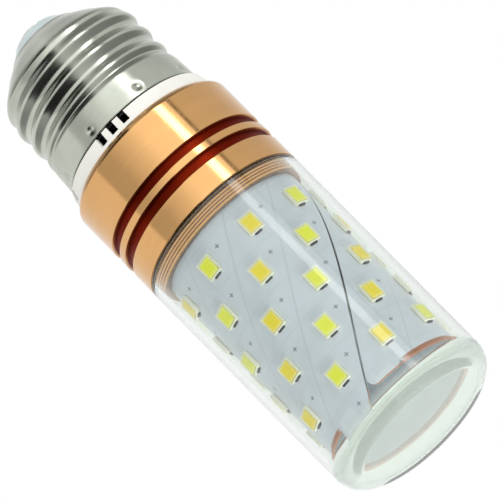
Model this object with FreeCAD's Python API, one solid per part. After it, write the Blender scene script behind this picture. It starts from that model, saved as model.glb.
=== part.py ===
import FreeCAD, Part
import math
import os

from FreeCAD import Vector

# Corn LED bulb with a screw cap, clear tube cover and a rolled LED board.
# Millimetres. The bulb stands on the closed end of its cover, cap upwards:
# z = 0 is the outer face of that end, and the bulb's axis is +Z.
# Angles are in degrees from the front, which faces -Y, turning towards +X.

# Clear cover
cover_radius = 15.5
cover_wall = 1.2
cover_end_wall = 2.4
cover_length = 46.9
cover_corner = 3.4
cover_fit = 0.05

# Gold sleeve
sleeve_length = 18.4
sleeve_rear_edge = 0.9
sleeve_front_edge = 0.25
spigot_length = 2.6
spigot_wall = 0.95
groove_depth = 0.8
groove_front_start = 4.6
groove_front_width = 1.8
groove_rear_start = 7.8
groove_rear_width = 1.7

# White neck housing
collar_height = 2.6
collar_lip = 0.4
collar_taper = 0.5
stem_length = 14.6
stem_wall = 2.6
stem_fit = 0.05
neck_length = 12.2
neck_wall = 1.5
vent_width = 1.35
vent_pitch = 2.5
vent_depth = 1.9
vents_in_group = 3
vent_groups = (-7.5, -82.5, 172.5, 97.5)

# Screw cap
shell_length = 22.25
shell_gap = 0.4
shell_wall = 0.35
shell_lip = 0.5
shell_hole_radius = 5.9
thread_pitch = 3.629
thread_crest_radius = 13.2
thread_depth = 0.7
thread_foot = 2.7
thread_top = 1.0
thread_sink = 0.2
thread_turns = 4.0
thread_front_crest = 7.0
dome_height = 7.4
brow_drop = 5.0
brow_inset = 0.75
crown_drop = 2.0
crown_inset = 3.95
dome_sink = 0.5
skirt_length = 5.5
skirt_flare = 0.35
crimp_count = 8
crimp_height = 1.45
crimp_radius = 1.2
crimp_depth = 0.22
crimp_first_angle = 25.5
cap_fit = 0.05
insulator_rise = 2.3
insulator_top_radius = 4.1
insulator_plug = 3.4
contact_radius = 3.2
contact_top_radius = 2.2
contact_edge = 0.25
contact_rise = 0.7
contact_shank_radius = 1.3

# Rolled LED board
board_wall = 0.9
board_fit = 0.05
board_end_height = 5.4
board_tab_drop = 2.3
board_tab_width = 8.0
board_slit = 0.4
board_corner = 1.3
lead_hole_radius = 0.75
lead_hole_drop = 1.7
lead_spread = 9.0

# LEDs
led_columns = 9
led_ring_pitch = 7.05
led_top_room = 3.25
led_end_room = 2.0
led_twist = 17.3
led_first_angle = -55.9
led_length = 3.5
led_width = 2.8
led_height = 0.7
window_length = 2.7
window_width = 2.1
window_depth = 0.3

# Driver board and what it carries
driver_thickness = 1.2
driver_top_drop = 1.3
driver_bottom_room = 3.0
slot_depth = 0.55
slot_play = 0.05
capacitor_radius = 4.0
capacitor_length = 13.0
capacitor_room = 4.6
choke_radius = 4.2
choke_room = 2.4
choke_clear = 1.08
choke_core_radius = 2.0
choke_flange = 1.2
winding_sink = 0.4
resistor_radius = 1.5
resistor_length = 6.5
resistor_drop = 3.5
leg_radius = 0.3
leg_reach = 1.2
chip_length = 4.9
chip_width = 3.9
chip_height = 1.5
chip_rise = 14.0
chip_pins = 4
bridge_length = 4.7
bridge_width = 4.0
bridge_height = 1.6
bridge_drop = 8.0
pin_pitch = 1.27
pin_length = 1.1
pin_width = 0.42
pin_thickness = 0.25
pin_root = 0.1

# Wires
wire_radius = 0.6
live_offset = 3.0
live_rise = 8.0
live_run_in = 6.0
neutral_offset = 5.0
neutral_bend = 1.5
neutral_end = 0.7
output_radius = 0.45
output_climb = 3.0
output_reach = 3.0
output_bend = 1.0
output_proud = 0.3

# Extra reach of each cut past the surface that it opens
cut_over = 1.0

# Stations along the axis
sleeve_front = cover_length
sleeve_rear = sleeve_front + sleeve_length
collar_rear = sleeve_rear + collar_height
shell_rim = collar_rear + shell_gap
shell_end = shell_rim + shell_length
insulator_top = shell_end + insulator_rise
spigot_front = sleeve_front - spigot_length
stem_front = sleeve_rear - stem_length
neck_rear = collar_rear + neck_length
lead_hole_height = spigot_front - lead_hole_drop
driver_top = sleeve_rear - driver_top_drop
capacitor_low = lead_hole_height - capacitor_room - capacitor_length
driver_bottom = capacitor_low - driver_bottom_room
choke_height = lead_hole_height + output_climb + choke_room + choke_radius

# Radii that follow from each other
cover_bore = cover_radius - cover_wall
spigot_radius = cover_bore - cover_fit
sleeve_bore = spigot_radius - spigot_wall
stem_radius = sleeve_bore - stem_fit
stem_bore = stem_radius - stem_wall
board_radius = sleeve_bore - board_fit
board_bore = board_radius - board_wall
thread_root_radius = thread_crest_radius - thread_depth
skirt_bore = thread_crest_radius - shell_wall
root_bore = thread_root_radius - shell_wall
neck_base_radius = skirt_bore - cap_fit
neck_radius = root_bore - cap_fit
neck_bore = neck_radius - neck_wall
skirt_rim_radius = thread_crest_radius + skirt_flare
collar_rear_radius = skirt_rim_radius + collar_lip
collar_front_radius = collar_rear_radius + collar_taper
brow_radius = thread_crest_radius - brow_inset
crown_radius = thread_crest_radius - crown_inset
shell_lip_radius = shell_hole_radius + shell_lip
driver_width = 2.0 * (stem_bore + slot_depth)

# Rings of LEDs: as many as fit between the sleeve's spigot and the board's end edge
led_top_ring = spigot_front - led_top_room - led_length / 2.0
led_room = led_top_ring - led_length / 2.0 - led_end_room - board_end_height
led_rings = 1 + int(led_room / led_ring_pitch)
led_lowest_ring = led_top_ring - (led_rings - 1) * led_ring_pitch


def around(radius, angle, z):
    turn = math.radians(angle)
    return Vector(radius * math.sin(turn), -radius * math.cos(turn), z)


def turned(path):
    # Solid of revolution. Each step is a point (r, z), or a pair of points for an arc.
    here = Vector(path[0][0], 0, path[0][1])
    first = here
    edges = []
    for step in path[1:]:
        if isinstance(step[0], tuple):
            middle = Vector(step[0][0], 0, step[0][1])
            there = Vector(step[1][0], 0, step[1][1])
            edges.append(Part.Arc(here, middle, there).toShape())
        else:
            there = Vector(step[0], 0, step[1])
            edges.append(Part.makeLine(here, there))
        here = there
    edges.append(Part.makeLine(here, first))
    return Part.Face(Part.Wire(edges)).revolve(Vector(0, 0, 0), Vector(0, 0, 1), 360)


def quarter(centre_r, centre_z, radius, start, end):
    # Arc step for turned(), between two directions in degrees from +r towards +z.
    points = []
    for angle in ((start + end) / 2.0, end):
        turn = math.radians(angle)
        points.append((centre_r + radius * math.cos(turn), centre_z + radius * math.sin(turn)))
    return tuple(points)


def post(radius, z_low, z_high):
    return Part.makeCylinder(radius, z_high - z_low, Vector(0, 0, z_low))


def rod(radius, start, end):
    return Part.makeCylinder(radius, (end - start).Length, start, end - start)


def block(length_x, length_y, length_z, centre):
    corner = centre - Vector(length_x, length_y, length_z) * 0.5
    return Part.makeBox(length_x, length_y, length_z, corner)


def radial_block(r_low, r_high, width, z_low, z_high, angle):
    # Block that faces outwards at an angle from the front.
    solid = Part.makeBox(width, r_high - r_low, z_high - z_low, Vector(-width / 2.0, -r_high, z_low))
    solid.rotate(Vector(0, 0, 0), Vector(0, 0, 1), angle)
    return solid


def coiled(profile, pitch, z_low, z_high, angle_low, radius):
    # Sweeps a closed profile, drawn in the XZ plane about z = 0, up a right-hand helix.
    helix = Part.Wire(Part.makeHelix(pitch, z_high - z_low, radius))
    solid = helix.makePipeShell([profile], True, True)
    solid.rotate(Vector(0, 0, 0), Vector(0, 0, 1), angle_low - 90.0)
    solid.translate(Vector(0, 0, z_low))
    return solid


def wire_run(points, radius):
    # Round wire along straight runs with mitred bends.
    path = Part.makePolygon(points)
    ring = Part.Wire(Part.makeCircle(radius, points[0], points[1] - points[0]))
    return path.makePipeShell([ring], True, False, 1)


def clear_cover():
    inner_corner = cover_corner - cover_wall
    inner_corner_top = cover_end_wall + inner_corner
    return turned([
        (0, 0),
        (cover_radius - cover_corner, 0),
        quarter(cover_radius - cover_corner, cover_corner, cover_corner, -90, 0),
        (cover_radius, cover_length),
        (cover_bore, cover_length),
        (cover_bore, inner_corner_top),
        quarter(cover_bore - inner_corner, inner_corner_top, inner_corner, 0, -90),
        (0, cover_end_wall),
    ])


def heat_sleeve():
    floor = cover_radius - groove_depth
    front_groove = sleeve_front + groove_front_start
    rear_groove = sleeve_front + groove_rear_start
    return turned([
        (sleeve_bore, spigot_front),
        (spigot_radius, spigot_front),
        (spigot_radius, sleeve_front),
        (cover_radius - sleeve_front_edge, sleeve_front),
        (cover_radius, sleeve_front + sleeve_front_edge),
        (cover_radius, front_groove),
        (floor, front_groove),
        (floor, front_groove + groove_front_width),
        (cover_radius, front_groove + groove_front_width),
        (cover_radius, rear_groove),
        (floor, rear_groove),
        (floor, rear_groove + groove_rear_width),
        (cover_radius, rear_groove + groove_rear_width),
        (cover_radius, sleeve_rear - sleeve_rear_edge),
        (cover_radius - sleeve_rear_edge, sleeve_rear),
        (sleeve_bore, sleeve_rear),
    ])


def neck_housing():
    shoulder = shell_rim + skirt_length - neck_base_radius + neck_radius
    solid = turned([
        (stem_bore, stem_front),
        (stem_radius, stem_front),
        (stem_radius, sleeve_rear),
        (collar_front_radius, sleeve_rear),
        (collar_rear_radius, collar_rear),
        (neck_base_radius, collar_rear),
        (neck_base_radius, shoulder),
        (neck_radius, shoulder),
        (neck_radius, neck_rear),
        (neck_bore, neck_rear),
        (neck_bore, sleeve_rear),
        (stem_bore, sleeve_rear),
    ])
    tools = []
    step = math.degrees(vent_pitch / collar_rear_radius)
    for group in vent_groups:
        for number in range(vents_in_group):
            angle = group + step * (number - (vents_in_group - 1) / 2.0)
            tools.append(radial_block(neck_bore - cut_over, collar_front_radius + cut_over, vent_width,
                                      collar_rear - vent_depth, collar_rear, angle))
    # Two slots down the stem's bore take the edges of the driver board.
    slot_reach = driver_width + 2.0 * slot_play
    slot_height = driver_top - stem_front
    tools.append(block(slot_reach, driver_thickness + 2.0 * slot_play, slot_height,
                       Vector(0, 0, stem_front + slot_height / 2.0)))
    return solid.cut(tools)


def thread_ridge():
    # One ridge of the rolled thread, wound from inside the skirt up on to the domed end.
    sunk = thread_root_radius - thread_sink
    half_top = thread_top / 2.0
    half_foot = half_top + (thread_foot / 2.0 - half_top) * (thread_depth + thread_sink) / thread_depth
    section = Part.makePolygon([
        Vector(sunk, 0, -half_foot),
        Vector(thread_crest_radius, 0, -half_top),
        Vector(thread_crest_radius, 0, half_top),
        Vector(sunk, 0, half_foot),
        Vector(sunk, 0, -half_foot),
    ])
    z_low = shell_rim + thread_front_crest - thread_pitch
    return coiled(section, thread_pitch, z_low, z_low + thread_turns * thread_pitch, 0,
                  thread_root_radius)


def screw_shell():
    step = shell_rim + skirt_length
    dome_low = shell_end - dome_height
    brow = shell_end - brow_drop
    crown = shell_end - crown_drop
    # The ridge fades where this ring round the domed end trims it.
    beyond = turned([
        (thread_crest_radius + cut_over, dome_low - cut_over),
        (thread_crest_radius, dome_low),
        (brow_radius, brow),
        (crown_radius, crown),
        (shell_lip_radius, shell_end),
        (shell_lip_radius, shell_end + cut_over),
        (thread_crest_radius + cut_over, shell_end + cut_over),
    ])
    body = turned([
        (0, shell_rim),
        (skirt_rim_radius, shell_rim),
        (thread_crest_radius, step),
        (thread_root_radius, step + thread_depth),
        (thread_root_radius, dome_low + thread_depth),
        (brow_radius - dome_sink, brow),
        (crown_radius - dome_sink / 4.0, crown),
        (shell_lip_radius, shell_end),
        (0, shell_end),
    ])
    hollow = turned([
        (0, shell_rim - cut_over),
        (skirt_rim_radius - shell_wall, shell_rim - cut_over),
        (skirt_rim_radius - shell_wall, shell_rim),
        (skirt_bore, step),
        (root_bore, step + thread_depth),
        (root_bore, dome_low + thread_depth - shell_wall / 2.0),
        (brow_radius - dome_sink - shell_wall, brow - shell_wall / 2.0),
        (crown_radius - dome_sink / 4.0 - shell_wall, crown - shell_wall / 2.0),
        (shell_lip_radius, shell_end - shell_wall),
        (0, shell_end - shell_wall),
    ])
    # Crimps: shallow dents round the skirt that grip the neck.
    dents = []
    lean = (skirt_rim_radius - thread_crest_radius) / skirt_length
    reach = skirt_rim_radius - lean * crimp_height + crimp_radius - crimp_depth
    for number in range(crimp_count):
        angle = crimp_first_angle + 360.0 * number / crimp_count
        dents.append(Part.makeSphere(crimp_radius, around(reach, angle, shell_rim + crimp_height)))
    shell = body.fuse(thread_ridge())
    mouth = post(shell_hole_radius, shell_end - shell_wall - cut_over, shell_end + cut_over)
    return shell.cut(beyond).cut([hollow, mouth] + dents)


def cap_insulator():
    plug = shell_hole_radius - cap_fit
    bore = contact_shank_radius + cap_fit
    return turned([
        (bore, shell_end - insulator_plug),
        (plug, shell_end - insulator_plug),
        (plug, shell_end),
        (shell_lip_radius, shell_end),
        (insulator_top_radius, insulator_top),
        (bore, insulator_top),
    ])


def centre_contact():
    foot = shell_end - insulator_plug
    return turned([
        (0, foot),
        (contact_shank_radius, foot),
        (contact_shank_radius, insulator_top),
        (contact_radius, insulator_top),
        (contact_radius, insulator_top + contact_edge),
        (contact_top_radius, insulator_top + contact_rise),
        (0, insulator_top + contact_rise),
    ])


def slit_angle(z):
    # The slit runs half way between two LED columns and turns with them.
    column = led_first_angle + 1.5 * 360.0 / led_columns
    return column + led_twist * (z - led_lowest_ring) / led_ring_pitch


def led_board():
    tab_end = board_end_height - board_tab_drop
    tube = post(board_radius, tab_end, stem_front)
    tube = tube.cut(post(board_bore, tab_end - cut_over, stem_front + cut_over))
    # Everything past the board's end edge goes, but for the tab beside the slit.
    angle = slit_angle(board_end_height)
    tab_turn = math.degrees(board_tab_width / board_radius)
    sector = Part.makeCylinder(board_radius + cut_over, board_tab_drop + cut_over,
                               Vector(0, 0, tab_end - cut_over), Vector(0, 0, 1), 360.0 - tab_turn)
    sector.rotate(Vector(0, 0, 0), Vector(0, 0, 1), angle - 90.0)
    tube = tube.cut(sector)
    half = board_slit / 2.0
    section = Part.makePolygon([
        Vector(board_bore - cut_over, -half, 0),
        Vector(board_radius + cut_over, -half, 0),
        Vector(board_radius + cut_over, half, 0),
        Vector(board_bore - cut_over, half, 0),
        Vector(board_bore - cut_over, -half, 0),
    ])
    z_low = tab_end - 2.0 * cut_over
    climb = 360.0 / led_twist * led_ring_pitch
    slit = coiled(section, climb, z_low, stem_front + 2.0 * cut_over, slit_angle(z_low), board_radius)
    # The slit parts the board from a waste corner, which is left out.
    board = max(tube.cut(slit).Solids, key=lambda solid: solid.Volume)
    # The acute corner between the slit and the end edge is rounded.
    slit_side = angle + math.degrees(half / board_radius)
    corner = around((board_bore + board_radius) / 2.0, slit_side, board_end_height)
    corner_edge = min(board.Edges, key=lambda edge: edge.CenterOfMass.distanceToPoint(corner))
    board = board.makeFillet(board_corner, [corner_edge])
    holes = []
    for side in (-1, 1):
        place = lead_angle(side)
        holes.append(rod(lead_hole_radius, around(board_bore - cut_over, place, lead_hole_height),
                         around(board_radius + cut_over, place, lead_hole_height)))
    return board.cut(holes)


def lead_angle(side):
    # The two output leads come through the board at the back, between two LED columns.
    return 180.0 + side * lead_spread


def led_angle(column, ring):
    return led_first_angle + 360.0 * column / led_columns + led_twist * ring


def led_row(column):
    packages = []
    windows = []
    seat = board_radius
    face = board_radius + led_height
    for ring in range(led_rings):
        z = led_lowest_ring + led_ring_pitch * ring
        angle = led_angle(column, ring)
        window = radial_block(face - window_depth, face, window_width,
                              z - window_length / 2.0, z + window_length / 2.0, angle)
        package = radial_block(seat, face, led_width, z - led_length / 2.0, z + led_length / 2.0, angle)
        packages.append(package.cut(window))
        windows.append(window)
    return Part.makeCompound(packages), Part.makeCompound(windows)


def surface_chip(width, height, length, z, pins, pitch):
    # Flat package on the front of the driver board, with gull pins down both sides.
    front = -driver_thickness / 2.0
    solid = block(width, height, length, Vector(0, front - height / 2.0, z))
    feet = []
    for way in (-1, 1):
        x = way * (width / 2.0 + pin_length / 2.0 - pin_root)
        for number in range(pins):
            place = Vector(x, front - pin_thickness / 2.0, z + (number - (pins - 1) / 2.0) * pitch)
            feet.append(block(pin_length, pin_thickness, pin_width, place))
    return solid.fuse(feet).removeSplitter()


def choke_parts():
    # Drum core that stands on the back of the driver board, as tall as the stem's bore lets it.
    back = driver_thickness / 2.0
    tall = math.sqrt((stem_bore - choke_clear) ** 2 - choke_radius ** 2) - back
    outwards = Vector(0, 1, 0)
    core = Part.makeCylinder(choke_core_radius, tall, Vector(0, back, choke_height), outwards)
    flanges = []
    for y in (back, back + tall - choke_flange):
        flanges.append(Part.makeCylinder(choke_radius, choke_flange, Vector(0, y, choke_height), outwards))
    coil = Part.makeCylinder(choke_radius - winding_sink, tall - 2.0 * choke_flange,
                             Vector(0, back + choke_flange, choke_height), outwards)
    return core.fuse(flanges).removeSplitter(), coil.cut(core)


def fuse_resistor():
    back = driver_thickness / 2.0
    z = driver_top - resistor_drop
    y = back + resistor_radius
    side = resistor_length / 2.0
    body = rod(resistor_radius, Vector(-side, y, z), Vector(side, y, z))
    legs = []
    for way in (-1, 1):
        reach = way * (side + leg_reach)
        legs.append(wire_run([
            Vector(way * (side - leg_radius), y, z),
            Vector(reach, y, z),
            Vector(reach, back, z),
        ], leg_radius))
    return body.fuse(legs).removeSplitter()


def live_wire():
    # Rises from the driver board's top edge to the foot of the centre contact.
    foot = shell_end - insulator_plug
    return wire_run([
        Vector(live_offset, 0, driver_top),
        Vector(live_offset, 0, driver_top + live_rise),
        Vector(0, 0, foot - live_run_in),
        Vector(0, 0, foot),
    ], wire_radius)


def neutral_wire():
    # Rises out of the neck and bends over its rim to lie against the shell.
    wall = root_bore - wire_radius
    return wire_run([
        Vector(-neutral_offset, 0, driver_top),
        Vector(-neutral_offset, 0, neck_rear),
        Vector(-wall, 0, neck_rear + neutral_bend),
        Vector(-wall, 0, neck_rear + neutral_bend + neutral_end),
    ], wire_radius)


def output_lead(side):
    # From the back of the driver board out through its hole in the LED board.
    outer = around(board_radius + output_proud, lead_angle(side), lead_hole_height)
    inner = around(board_bore - output_reach, lead_angle(side), lead_hole_height)
    high = lead_hole_height + output_climb
    return wire_run([
        Vector(inner.x, driver_thickness / 2.0, high),
        Vector(inner.x, inner.y - output_bend, high),
        inner,
        outer,
    ], output_radius)


def driver_board():
    middle = (driver_top + driver_bottom) / 2.0
    return block(driver_width, driver_thickness, driver_top - driver_bottom, Vector(0, 0, middle))


def smoothing_capacitor():
    place = Vector(0, driver_thickness / 2.0 + capacitor_radius, capacitor_low)
    return Part.makeCylinder(capacitor_radius, capacitor_length, place)


pieces = {
    "clear_cover": clear_cover(),
    "heat_sleeve": heat_sleeve(),
    "neck_housing": neck_housing(),
    "screw_shell": screw_shell(),
    "cap_insulator": cap_insulator(),
    "centre_contact": centre_contact(),
    "led_board": led_board(),
}
for column in range(led_columns):
    packages, windows = led_row(column)
    pieces["led_row_%d" % (column + 1)] = packages
    pieces["phosphor_row_%d" % (column + 1)] = windows
pieces["driver_board"] = driver_board()
pieces["smoothing_capacitor"] = smoothing_capacitor()
pieces["choke_core"], pieces["choke_winding"] = choke_parts()
pieces["fuse_resistor"] = fuse_resistor()
pieces["driver_chip"] = surface_chip(chip_width, chip_height, chip_length, driver_bottom + chip_rise,
                                     chip_pins, pin_pitch)
pieces["bridge_rectifier"] = surface_chip(bridge_width, bridge_height, bridge_length,
                                          driver_top - bridge_drop, 2, 2.0 * pin_pitch)
pieces["live_wire"] = live_wire()
pieces["neutral_wire"] = neutral_wire()
pieces["led_lead_left"] = output_lead(-1)
pieces["led_lead_right"] = output_lead(1)

os.makedirs("parts", exist_ok=True)
for name, shape in pieces.items():
    shape.exportStep("parts/%s.step" % name)
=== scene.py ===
"""Corn LED bulb: clear cover, rolled LED board, gold sleeve and screw cap, dressed over the packed solids."""

import math

import bmesh
import bpy
from bpy.props import FloatProperty, FloatVectorProperty, IntProperty, PointerProperty
from mathutils import Matrix, Vector


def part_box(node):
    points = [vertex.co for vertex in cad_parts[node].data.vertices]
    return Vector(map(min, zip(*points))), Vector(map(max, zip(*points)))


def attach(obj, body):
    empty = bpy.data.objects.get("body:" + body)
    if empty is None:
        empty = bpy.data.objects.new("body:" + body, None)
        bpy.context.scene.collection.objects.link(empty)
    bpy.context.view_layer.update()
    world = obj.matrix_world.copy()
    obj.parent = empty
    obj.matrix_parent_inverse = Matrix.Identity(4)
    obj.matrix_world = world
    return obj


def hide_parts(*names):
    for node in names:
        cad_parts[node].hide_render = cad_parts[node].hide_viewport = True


bl_info = {
    "name": "Corn LED Bulb",
    "version": (1, 0, 0),
    "blender": (4, 5, 0),
    "location": "View3D > Sidebar > Bulb",
    "description": "Dresses the solids of a corn LED bulb and sets up its studio",
    "category": "Object",
}

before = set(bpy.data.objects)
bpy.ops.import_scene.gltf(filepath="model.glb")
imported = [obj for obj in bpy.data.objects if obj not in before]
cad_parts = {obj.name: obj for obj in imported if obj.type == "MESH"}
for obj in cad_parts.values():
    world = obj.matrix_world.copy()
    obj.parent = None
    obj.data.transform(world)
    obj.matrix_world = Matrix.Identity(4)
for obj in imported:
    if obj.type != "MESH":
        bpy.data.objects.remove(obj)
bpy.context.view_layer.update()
cover_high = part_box("clear_cover")[1]
sleeve_low, sleeve_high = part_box("heat_sleeve")
shell_low, shell_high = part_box("screw_shell")
tip_low, tip_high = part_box("cap_insulator")
contact_low, contact_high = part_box("centre_contact")
row_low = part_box("led_row_1")[0]
board_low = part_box("led_board")[0]
MM = 0.001
LED_COLUMNS = 9
WARM_COLUMNS = (1, 3, 5, 6, 8)
COLUMN_STEP = math.tau / LED_COLUMNS
# A row of points this close to a rounding keeps the long face beside it straight in its shading.
NEAR = 0.05 * MM
# Points this close count as one place, and those this close are joined.
SAME = 1e-6
JOINED = 1e-7


def srgb(red, green, blue):
    """Linear colour of an 8-bit screen colour."""
    shares = (red / 255.0, green / 255.0, blue / 255.0)
    return tuple(s / 12.92 if s <= 0.04045 else ((s + 0.055) / 1.055) ** 2.4 for s in shares)


def length(name, description, default, lowest=0.0):
    """A size in metres for a property group."""
    return FloatProperty(name=name, description=description, default=default, min=lowest, precision=5,
                         unit="LENGTH")


def turn(name, description, degrees):
    """An angle for a property group, given in degrees."""
    return FloatProperty(name=name, description=description, default=math.radians(degrees), unit="ROTATION")


def number(name, description, default):
    """A plain number for a property group."""
    return FloatProperty(name=name, description=description, default=default, min=0.0)


def colour(name, description, *screen):
    """A colour for a property group, given as an 8-bit screen colour."""
    return FloatVectorProperty(name=name, description=description, default=srgb(*screen), size=3,
                               min=0.0, max=1.0, subtype="COLOR")


class CoverSizes(bpy.types.PropertyGroup):
    """Clear moulded cover."""

    radius: length("Radius", "Outside of the tube", cover_high.x)
    length: length("Length", "From the closed end to the sleeve", cover_high.z)
    wall: length("Wall", "Thickness of the tube", 1.2 * MM)
    end: length("End wall", "Thickness of the closed end", 2.4 * MM)
    corner: length("Corner", "Outer rounding of the closed end", 3.4 * MM)
    rim: length("Rim rounding", "Rounding of the open rim", 0.12 * MM)
    milky: length("Milky", "Height up to which the closed end is slightly milky", 2.0 * MM)
    clear: length("Clear", "Height from which the tube is quite clear", 5.0 * MM)
    clarity: number("Clarity", "How clear the milky end is, up to 1", 0.83)


class SleeveSizes(bpy.types.PropertyGroup):
    """Turned gold sleeve."""

    radius: length("Radius", "Outside of the sleeve", sleeve_high.x)
    front: length("Front", "Height of the shoulder that the cover meets", cover_high.z)
    lip: length("Front edge", "Bevel at the shoulder's edge", 0.25 * MM)
    edge: length("Rear edge", "Bevel at the rear edge", 0.9 * MM)
    easing: length("Easing", "Rounding between the outside and the rear bevel", 0.4 * MM)
    bore: length("Bore", "Inside radius", 13.3 * MM)
    spigot: length("Spigot radius", "Part that plugs into the cover", 14.25 * MM)
    ring_room: length("Ring room", "Plain stretch at each end of the spigot", 0.5 * MM)
    ring_pitch: length("Ring pitch", "Spacing of the fine rings turned on the spigot", 0.52 * MM)
    ring_width: length("Ring width", "Width of a fine ring", 0.24 * MM)
    ring_depth: length("Ring depth", "Depth of the fine rings", 0.14 * MM)
    groove: length("Groove depth", "Depth of the two grooves", 0.8 * MM)
    rounding: length("Rounding", "Rounding of the grooves' edges", 0.12 * MM)


class CapSizes(bpy.types.PropertyGroup):
    """Rolled screw shell."""

    rim: length("Rim radius", "Edge of the skirt", shell_high.x)
    crest: length("Crest radius", "Top of the thread", 13.2 * MM)
    depth: length("Thread depth", "Crest to root", 0.7 * MM)
    pitch: length("Pitch", "Rise of one turn", 3.629 * MM)
    first: length("First crest", "Height of the ridge's start above the rim", 3.371 * MM)
    turns: number("Turns", "Turns of the ridge", 4.0)
    skirt: length("Skirt", "Length of the plain skirt", 5.5 * MM)
    dome: length("Dome", "Length of the domed end", 7.4 * MM)
    lip: length("Lip radius", "Edge that holds the insulator", tip_high.x)
    lip_width: length("Lip width", "How far the edge turns in", 0.5 * MM)
    wall: length("Wall", "Sheet thickness", 0.3 * MM)
    dent_height: length("Dent height", "Height of the crimp dents above the rim", 1.45 * MM)
    dent_depth: length("Dent depth", "Depth of a crimp dent", 0.3 * MM)
    dent_radius: length("Dent radius", "Spread of a crimp dent", 0.62 * MM)
    dent_angle: turn("Dent angle", "Angle of the first crimp dent from the front", 25.5)
    dents: IntProperty(name="Dents", description="Crimp dents round the skirt", default=8, min=1)


class LedSizes(bpy.types.PropertyGroup):
    """LED packages on the rolled board."""

    board: length("Board radius", "Outside of the rolled board", 13.25 * MM)
    width: length("Width", "Package, round the board", 2.8 * MM)
    length: length("Length", "Package, along the board", 3.5 * MM)
    height: length("Height", "Package, off the board", 0.7 * MM)
    edge: length("Edge", "Rounding of the package's edges", 0.1 * MM)
    window_width: length("Window width", "Phosphor, round the board", 2.1 * MM)
    window_length: length("Window length", "Phosphor, along the board", 2.7 * MM)
    recess: length("Recess", "Depth of the package's well", 0.28 * MM)
    lowest: length("Lowest ring", "Height of the lowest ring's centres", row_low.z + 1.75 * MM)
    pitch: length("Ring pitch", "Rise from ring to ring", 7.05 * MM)
    rings: IntProperty(name="Rings", description="Rings of LEDs", default=5, min=2)
    twist: turn("Twist", "Turn from ring to ring", 17.3)
    start: turn("Start", "Angle of the first column's lowest LED from the front", -55.9)
    end: length("Board end", "Height of the board's end edge beside its tab", board_low.z + 2.3 * MM)
    margin: length("Margin", "Bare strip along the end edge", 0.7 * MM)
    masked: turn("Masked", "Middle of the part of the end edge that has no bare strip", -11.0)


class BulbColours(bpy.types.PropertyGroup):
    """Colours of the finishes."""

    cover: colour("Cover", "Clear tube", 243, 248, 245)
    cover_end: colour("Cover end", "Milky closed end", 224, 232, 225)
    cover_light: colour("Cover light", "Lamp light that passes one face of the cover", 250, 252, 251)
    gold: colour("Gold", "Anodised sleeve", 226, 172, 106)
    # Groove and ring are painted shade on the sleeve, in its grooves and in the fine rings of its spigot.
    groove: colour("Groove", "Sleeve inside its grooves", 138, 36, 14)
    ring: colour("Ring", "Sleeve inside the fine rings of its spigot", 118, 66, 34)
    plate: colour("Plate", "Screw shell", 198, 203, 190)
    plastic: colour("White plastic", "Neck housing", 252, 251, 243)
    # Near-black painted shade inside the slots of the housing and in the gap under the shell's rim.
    recess_shade: colour("Vent", "Vent slots inside", 20, 20, 21)
    board: colour("Board", "White solder mask", 211, 216, 226)
    board_edge: colour("Board edge", "End edge of the board", 158, 92, 52)
    # The slit colour is painted shade on the cut edges along the slit.
    slit: colour("Slit", "Edges of the board along its slit", 78, 78, 82)
    pad: colour("Pad", "Mask over the pads", 232, 235, 240)
    mark: colour("Mark", "Printed polarity marks", 70, 72, 80)
    package: colour("Package", "LED frame", 250, 248, 226)
    warm: colour("Warm phosphor", "Windows of the warm columns", 252, 227, 0)
    cool: colour("Cool phosphor", "Windows of the cool columns", 245, 246, 30)
    insulator: colour("Insulator", "Ring at the tip", 204, 220, 220)
    # The solder's dark colour is painted shade at the LEDs' ends.
    solder: colour("Solder", "Joints at the LED ends", 92, 92, 94)


class StageSettings(bpy.types.PropertyGroup):
    """Camera, lamps and background."""

    tilt: turn("Tilt", "How far the camera looks up along the bulb", 20.5)
    roll: turn("Roll", "Turn of the camera about its own axis", 44.62)
    distance: length("Distance", "Camera to the middle of the bulb", 2.8)
    lens: number("Lens", "Focal length in millimetres", 1281.0)
    middle: length("Middle", "Height that the camera looks at", 46.0 * MM)
    right: length("Right", "Aim right of the middle", 3.06 * MM, -1.0)
    down: length("Down", "Aim below the middle", 2.995 * MM, -1.0)
    light: number("Light", "Level of the even light", 0.76)
    lit: length("Lit height", "Height that the soft boxes face", 45.0 * MM)
    key: number("Key", "Brightness of the soft box in front", 0.9)
    fill: number("Fill", "Brightness of the soft box below", 6.5)


GROUPS = (
    ("bulb_cover", CoverSizes),
    ("bulb_sleeve", SleeveSizes),
    ("bulb_cap", CapSizes),
    ("bulb_leds", LedSizes),
    ("bulb_colours", BulbColours),
    ("bulb_stage", StageSettings),
)


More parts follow.
